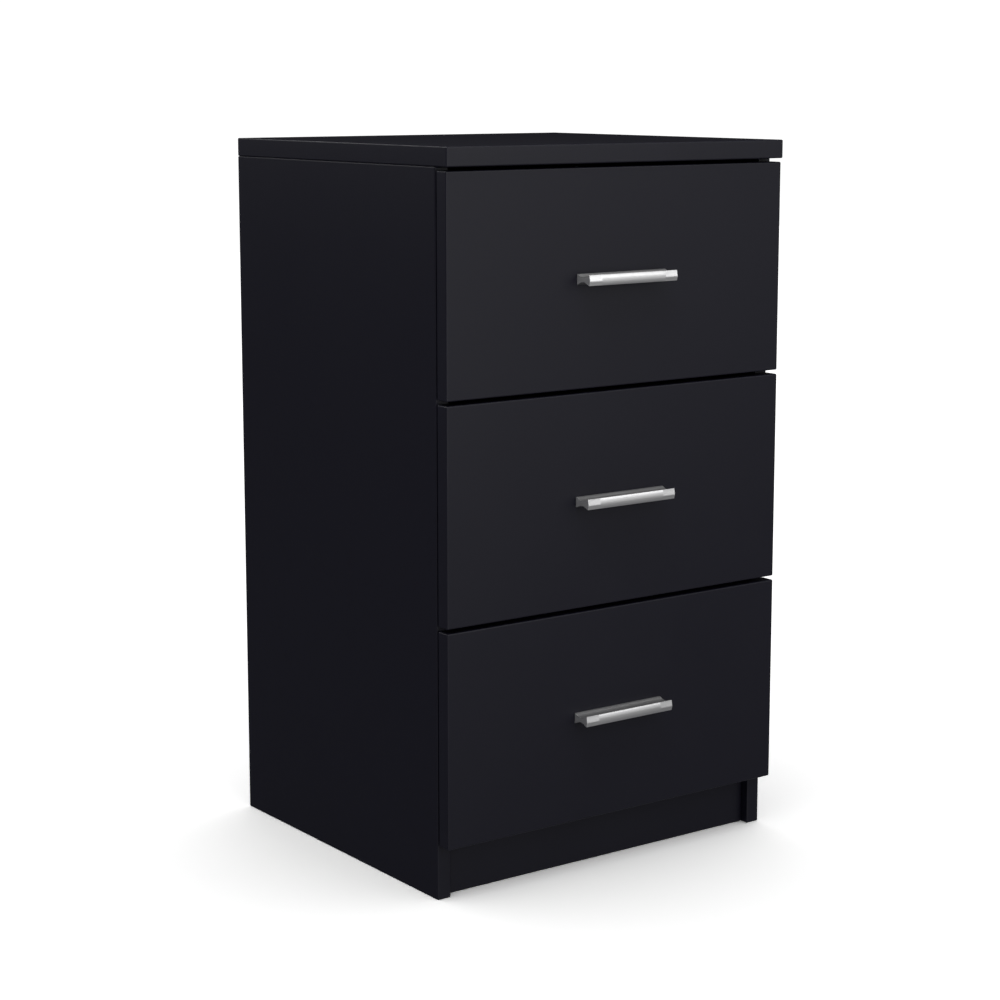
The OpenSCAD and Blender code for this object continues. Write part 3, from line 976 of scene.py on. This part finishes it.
def makeRail(node, side, cabinetSide):
    low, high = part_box(node)
    t = rail["steel"]
    if cabinetSide:
        # from the lower flange's tip, up the web at the panel, to the upper flange's tip
        shy = rail["pinHeadHeight"] + rail["gap"]
        tip = high.x - shy if side < 0 else low.x + shy
        web = (low.x + t / 2) if side < 0 else (high.x - t / 2)
        path = [(tip, low.z + t / 2), (web, low.z + t / 2), (web, high.z - t / 2), (tip, high.z - t / 2)]
    else:
        # from the foot under the box side, up the web, out along the ledge, down its lip
        foot = high.x if side < 0 else low.x
        outer = (low.x + t / 2) if side < 0 else (high.x - t / 2)
        web = outer - side * (rail["ledge"] - t)
        path = [
            (foot, low.z + t / 2), (web, low.z + t / 2), (web, high.z - t / 2),
            (outer, high.z - t / 2), (outer, high.z - t - rail["lip"]),
        ]
    strip = extrude(bentStrip(path, t, rail["bend"]), low.y, high.y, "Y", rail["cornerBreak"])
    mesh = asMesh(strip, node)
    inward = -side
    if cabinetSide:
        near, far = sorted((web + inward * t * 0.55, tip + inward * 5 * mm))
        cutLow = (near, low.y - 5 * mm, high.z - 3 * t)
        cutHigh = (far, low.y + rail["flangeStart"], high.z + 5 * mm)
        mesh = cutBox(mesh, cutLow, cutHigh, node)
        slotHeight = (low.z + high.z) / 2
    else:
        slotHeight = low.z + 0.58 * (high.z - low.z)
    mesh = cutSlots(mesh, web, slotHeight, low.y, high.y - low.y, node)
    work = bmesh.new()
    work.from_mesh(mesh)
    bpy.data.meshes.remove(mesh)
    return work, web, inward


def addPin(work, rollerNode, side, web, direction):
    # the pin runs from the rail's web through its roller and ends in a riveted head
    solids = solidsOf(rollerNode)
    points = [s for s in solids if s[0].x * side > 0][0]
    low, high = boxOf(points)
    start = Vector((web, (low.y + high.y) / 2, (low.z + high.z) / 2))
    farSide = high.x if direction > 0 else low.x
    length = abs(farSide - web) + rail["pinHeadHeight"] + rail["gap"]
    pin = pinMesh(length)
    turn = Vector((direction, 0, 0)).to_track_quat("Z", "Y").to_matrix().to_4x4()
    copyInto(work, pin, Matrix.Translation(start) @ turn)
    pin.free()


def makeRunners(level):
    drawer = level + "_drawer"
    for side, word in ((-1, "left"), (1, "right")):
        node = f"{level}_{word}_cabinet_rail"
        work, web, inward = makeRail(node, side, True)
        addPin(work, level + "_front_rollers", side, web, inward)
        finishPiece(makePiece(node + "_strip", work, (coating,)), "cabinet", "runner_steel", node)
        node = f"{drawer}_{word}_rail"
        work, web, inward = makeRail(node, side, False)
        addPin(work, drawer + "_rear_rollers", side, web, -inward)
        finishPiece(makePiece(node + "_strip", work, (coating,)), drawer, "runner_steel", node)


for level in levels:
    makeRunners(level)
print("runners made")

# CAD pieces whose shape is kept: fittings and dowels, with softened edges


def dressNode(node, material, width):
    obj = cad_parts[node]
    obj.data.materials.clear()
    obj.data.materials.append(material)
    weld = obj.modifiers.new("weld", "WELD")
    weld.merge_threshold = 1e-6
    soften = obj.modifiers.new("soften", "BEVEL")
    soften.width = width
    soften.segments = 2
    soften.limit_method = "ANGLE"
    soften.angle_limit = math.radians(40)
    even = obj.modifiers.new("evenNormals", "WEIGHTED_NORMAL")
    even.weight = 100


fittings = {"camBevel": 0.15 * mm, "dowelBevel": 0.5 * mm}
for node in ("cabinet_cam_locks", "cabinet_cam_bolts"):
    dressNode(node, zinc, fittings["camBevel"])
for level in levels:
    dressNode(level + "_drawer_cam_fittings", zinc, fittings["camBevel"])
dressNode("cabinet_dowels", beech, fittings["dowelBevel"])
print("fittings dressed")

# Studio: a pale floor, softboxes in front, overhead, behind and on the right, and a soft surround

floorLook = {
    "size": 14,  # metres
    # overexposed, so only the contact shadow stays; warm, to even out the cool surround
    "bright": (1.75, 1.75, 1.51),
    "bounce": (0.9, 0.9, 0.9),  # what the object gets back from it
}


def makeFloor():
    mesh = bmesh.new()
    half = floorLook["size"] / 2
    corners = ((-half, -half, 0), (half, -half, 0), (half, half, 0), (-half, half, 0))
    mesh.faces.new([mesh.verts.new(corner) for corner in corners])
    material = bpy.data.materials.new("studioFloor")
    material.use_nodes = True
    tree = material.node_tree
    tree.nodes.clear()
    bright = addNode(tree, "BsdfDiffuse", Color=(*floorLook["bright"], 1))
    bounce = addNode(tree, "BsdfDiffuse", Color=(*floorLook["bounce"], 1))
    rays = tree.nodes.new("ShaderNodeLightPath")
    mix = addNode(tree, "MixShader", Fac=rays.outputs["Is Camera Ray"])
    tree.links.new(bounce.outputs[0], mix.inputs[1])
    tree.links.new(bright.outputs[0], mix.inputs[2])
    out = tree.nodes.new("ShaderNodeOutputMaterial")
    tree.links.new(mix.outputs[0], out.inputs["Surface"])
    floor = makePiece("studio_floor", mesh, (material,))
    floor.visible_glossy = False
    return floor


surround = {
    "soft": (0.75, 0.75, 0.87),  # light for matt surfaces, from all round
    "backdrop": (1.1, 1.1, 1.1),
    "spread": 6.0,  # larger is narrower
    # what gloss sees besides the softboxes: azimuth from the front, elevation, colour
    "glows": (
        (0, -25, (0.37, 0.37, 0.37)),
        (20, -8, (0.07, 0.07, 0.07)),
        (-130, -15, (0.12, 0.12, 0.14)),
        (145, 5, (0.01, 0.01, 0.01)),
        (-50, -30, (0.28, 0.28, 0.30)),  # this and the next let the black sides be read from other angles
        (120, -50, (0.26, 0.26, 0.28)),
    ),
}


def addTint(tree, colour, strength, total):
    scaled = addVector(tree, "SCALE", colour)
    tree.links.new(strength, scaled.inputs["Scale"])
    return addVector(tree, "ADD", scaled.outputs[0], total).outputs[0]


def makeWorld():
    world = bpy.data.worlds.new("studio")
    scene.world = world
    world.use_nodes = True
    tree = world.node_tree
    tree.nodes.clear()
    rays = tree.nodes.new("ShaderNodeLightPath")
    direction = tree.nodes.new("ShaderNodeTexCoord").outputs["Generated"]
    light = (0, 0, 0)
    for azimuth, elevation, colour in surround["glows"]:
        a, e = math.radians(azimuth), math.radians(elevation)
        aim = (math.sin(a) * math.cos(e), -math.cos(a) * math.cos(e), math.sin(e))
        dot = addVector(tree, "DOT_PRODUCT", direction, aim).outputs["Value"]
        fall = addMath(tree, "MULTIPLY", addMath(tree, "SUBTRACT", dot, 1.0), surround["spread"])
        lobe = addMath(tree, "MULTIPLY", addMath(tree, "EXPONENT", fall), rays.outputs["Is Glossy Ray"])
        light = addTint(tree, colour, lobe, light)
    light = addTint(tree, surround["soft"], rays.outputs["Is Diffuse Ray"], light)
    light = addTint(tree, surround["backdrop"], rays.outputs["Is Camera Ray"], light)
    background = addNode(tree, "Background", Color=light)
    out = tree.nodes.new("ShaderNodeOutputWorld")
    tree.links.new(background.outputs[0], out.inputs["Surface"])


softboxes = {
    # place and aim in metres, width and height in metres, power in watts
    "frontHigh": {"place": (1.4, -2.0, 1.65), "aim": (0, 1, 0), "size": (1.6, 1.5), "power": 13},
    "frontLow": {"place": (1.4, -2.0, 0.45), "aim": (0, 1, 0), "size": (1.6, 0.9), "power": 1.7},
    "frontMiddle": {"place": (0.2, -2.0, 0.45), "aim": (0, 1, 0), "size": (0.8, 0.9), "power": 5},
    "overhead": {"place": (-0.6, -0.6, 2.3), "aim": (0, 0, -1), "size": (1.2, 1.2), "power": 34},
    "backLeft": {"place": (-1.4, 1.6, 1.3), "aim": (1.4, -1.6, -0.9), "size": (1.2, 1.0), "power": 3.2},
    "right": {"place": (2.2, 0.3, 0.9), "aim": (-1, 0, 0), "size": (1.6, 1.6), "power": 4},
    "rimBack": {"place": (-0.45, 2.2, 2.3), "aim": (0.45, -2.2, -1.6), "size": (0.8, 0.8), "power": 7},
    "rimRight": {"place": (1.0, -0.3, 2.4), "aim": (-1.1, 0.2, -1.7), "size": (0.6, 0.6), "power": 3},
}


def makeLights(floor):
    # the softboxes light the object only, so the floor's shadow is the surround's soft one
    unlit = bpy.data.collections.new("unlitBySoftboxes")
    unlit.objects.link(floor)
    unlit.collection_objects[0].light_linking.link_state = "EXCLUDE"
    for name, box in softboxes.items():
        data = bpy.data.lights.new(name, "AREA")
        data.shape = "RECTANGLE"
        data.size, data.size_y = box["size"]
        data.energy = box["power"]
        light = bpy.data.objects.new(name, data)
        light.location = box["place"]
        light.rotation_euler = Vector(box["aim"]).to_track_quat("-Z", "Y").to_euler()
        light.visible_camera = False
        light.light_linking.receiver_collection = unlit
        scene.collection.objects.link(light)


studioFloor = makeFloor()
makeWorld()
makeLights(studioFloor)
scene.view_settings.view_transform = "Standard"
print("studio made")
